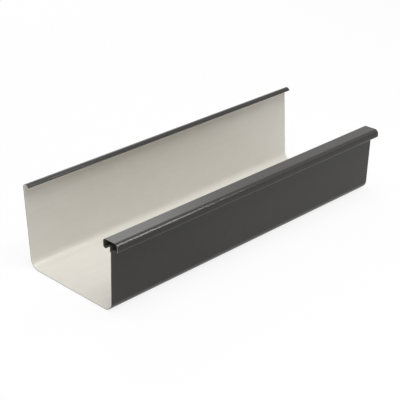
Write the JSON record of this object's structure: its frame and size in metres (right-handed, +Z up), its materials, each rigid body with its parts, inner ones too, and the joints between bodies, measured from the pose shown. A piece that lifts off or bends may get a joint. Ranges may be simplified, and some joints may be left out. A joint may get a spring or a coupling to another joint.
{
  "type": "box gutter section",
  "caption": "Length of rectangular roll-formed roof gutter, open at both ends, with a taller back wall turned in at the top and a flat hollow bead along the front wall.",
  "frame": {"origin": "on the underside, halfway along the length and midway between the feet of the two walls", "axes": "+X runs along the gutter, +Y points from the beaded front wall to the taller back wall, +Z is up"},
  "size_m": [0.37, 0.1358, 0.09],
  "materials": {
    "coated_sheet": "satin anthracite coil coating outside, cream backing coat inside"
  },
  "bodies": {
    "root": {"gutter_section": "coated_sheet"}
  },
  "joints": []
}
